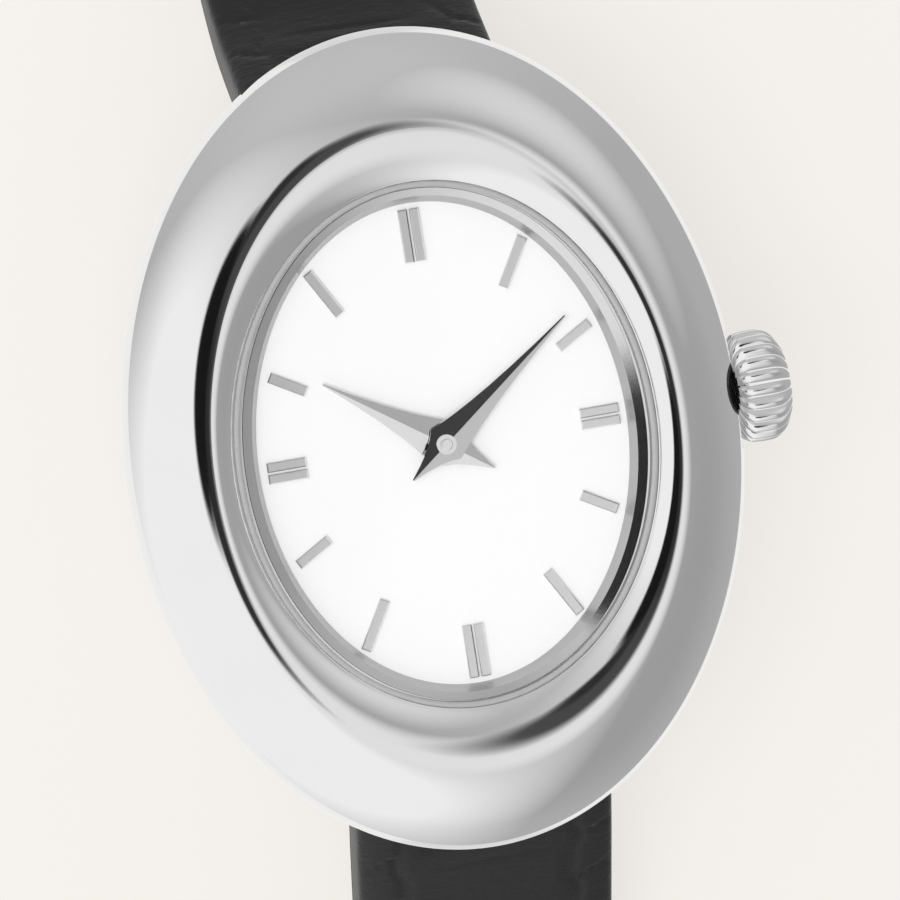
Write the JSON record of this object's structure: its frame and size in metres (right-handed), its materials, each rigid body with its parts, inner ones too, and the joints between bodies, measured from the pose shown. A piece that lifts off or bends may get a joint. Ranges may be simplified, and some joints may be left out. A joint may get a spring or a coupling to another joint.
{
  "type": "wristwatch",
  "caption": "Oval wristwatch: puffed metal case with a raised bezel and domed crystal, baton markers, two hands, fluted crown, and a leather strap with buckle laid open flat",
  "frame": {"origin": "middle of the case back's outer face", "axes": "+Z out of the dial, +Y to twelve o'clock and along the strap, +X to three o'clock and the crown"},
  "size_m": [0.0296, 0.1959, 0.0164],
  "materials": {
    "case_metal": "soft satin",
    "back_metal": "brushed",
    "seal_rubber": "matt",
    "crystal_glass": "clear polished",
    "gasket_plastic": "translucent grey",
    "flange_metal": "satin",
    "dial_paint": "matt white",
    "marker_metal": "polished",
    "hand_metal": "polished",
    "train_brass": "machined",
    "plate_metal": "plated matt",
    "screw_steel": "polished heads",
    "coil_copper": "enamelled wire",
    "board_plastic": "green board",
    "battery_steel": "satin",
    "spacer_plastic": "moulded",
    "stem_steel": "turned",
    "crown_metal": "fluted and polished",
    "bar_steel": "turned",
    "strap_leather": "glossy embossed grain",
    "lining_leather": "plain smooth",
    "keeper_leather": "glossy",
    "buckle_metal": "polished"
  },
  "bodies": {
    "case": {"case_body": "case_metal", "bezel": "case_metal", "case_back": "back_metal", "case_back_gasket": "seal_rubber", "crystal": "crystal_glass", "crystal_gasket": "gasket_plastic", "flange_ring": "flange_metal", "dial": "dial_paint", "double_hour_markers": "marker_metal", "single_hour_markers": "marker_metal", "main_plate": "plate_metal", "train_bridge": "plate_metal", "bridge_screws": "screw_steel", "coil": "coil_copper", "stator": "stem_steel", "circuit_board": "board_plastic", "battery": "battery_steel", "battery_clamp": "stem_steel", "movement_ring": "spacer_plastic", "lever_post": "stem_steel", "crown_tube": "stem_steel", "spring_bar_top": "bar_steel", "spring_bar_bottom": "bar_steel"},
    "minutes": {"cannon_pinion": "train_brass", "minute_hand": "hand_metal"},
    "motion_wheel": {"minute_wheel": "train_brass"},
    "hours": {"hour_wheel": "train_brass", "hour_hand": "hand_metal"},
    "winding_pinion": {"sliding_pinion": "stem_steel"},
    "crown_and_stem": {"crown": "crown_metal", "stem": "stem_steel", "crown_gasket": "seal_rubber"},
    "lever": {"setting_lever": "stem_steel"},
    "short_strap": {"short_strap_leather": "strap_leather", "short_strap_lining": "lining_leather", "fixed_keeper": "keeper_leather", "buckle_bar": "bar_steel"},
    "long_strap": {"long_strap_leather": "strap_leather", "long_strap_lining": "lining_leather"},
    "loose_keeper": {"sliding_keeper": "keeper_leather"},
    "buckle": {"buckle_frame": "buckle_metal"},
    "tongue": {"buckle_tongue": "buckle_metal"}
  },
  "joints": [
    {"name": "minute_hand_turn", "type": "hinge", "parent": "case", "child": "minutes", "pos_m": [0, 0, 0.004], "axis": [0, 0, -1], "continuous": true},
    {"name": "minute_wheel_turn", "type": "hinge", "parent": "case", "child": "motion_wheel", "pos_m": [-0.00156, 0.00156, 0.0035], "axis": [0, 0, -1], "continuous": true},
    {"name": "hour_hand_turn", "type": "hinge", "parent": "case", "child": "hours", "pos_m": [0, 0, 0.004], "axis": [0, 0, -1], "continuous": true},
    {"name": "crown_turn", "type": "hinge", "parent": "case", "child": "winding_pinion", "pos_m": [0.0045, 0, 0.00295], "axis": [1, 0, 0], "continuous": true},
    {"name": "crown_pull", "type": "slide", "parent": "winding_pinion", "child": "crown_and_stem", "axis": [1, 0, 0], "range_m": [0, 0.0009]},
    {"name": "setting_lever_swing", "type": "hinge", "parent": "case", "child": "lever", "pos_m": [0.00655, 0.0026, 0.00295], "axis": [0, 0, 1], "range_deg": [-0.5, 23]},
    {"name": "short_strap_hinge", "type": "hinge", "parent": "case", "child": "short_strap", "pos_m": [0, 0.0143, 0.00115], "axis": [1, 0, 0], "range_deg": [-35, 35]},
    {"name": "long_strap_hinge", "type": "hinge", "parent": "case", "child": "long_strap", "pos_m": [0, -0.0143, 0.00115], "axis": [1, 0, 0], "range_deg": [-15, 55]},
    {"name": "keeper_slide", "type": "slide", "parent": "short_strap", "child": "loose_keeper", "axis": [0, 1, 0], "range_m": [-0.012, 0.0065]},
    {"name": "buckle_hinge", "type": "hinge", "parent": "short_strap", "child": "buckle", "pos_m": [0, 0.07648, -0.00836], "axis": [1, 0, 0], "range_deg": [-60, 45]},
    {"name": "tongue_hinge", "type": "hinge", "parent": "buckle", "child": "tongue", "pos_m": [0, 0.07648, -0.00836], "axis": [1, 0, 0], "range_deg": [0, 75]}
  ],
  "couplings": [
    {"joint": "minute_wheel_turn", "follows": "minute_hand_turn", "ratio": -0.33333},
    {"joint": "hour_hand_turn", "follows": "minute_hand_turn", "ratio": 0.083333},
    {"joint": "setting_lever_swing", "follows": "crown_pull", "rad_per_m": 433}
  ]
}
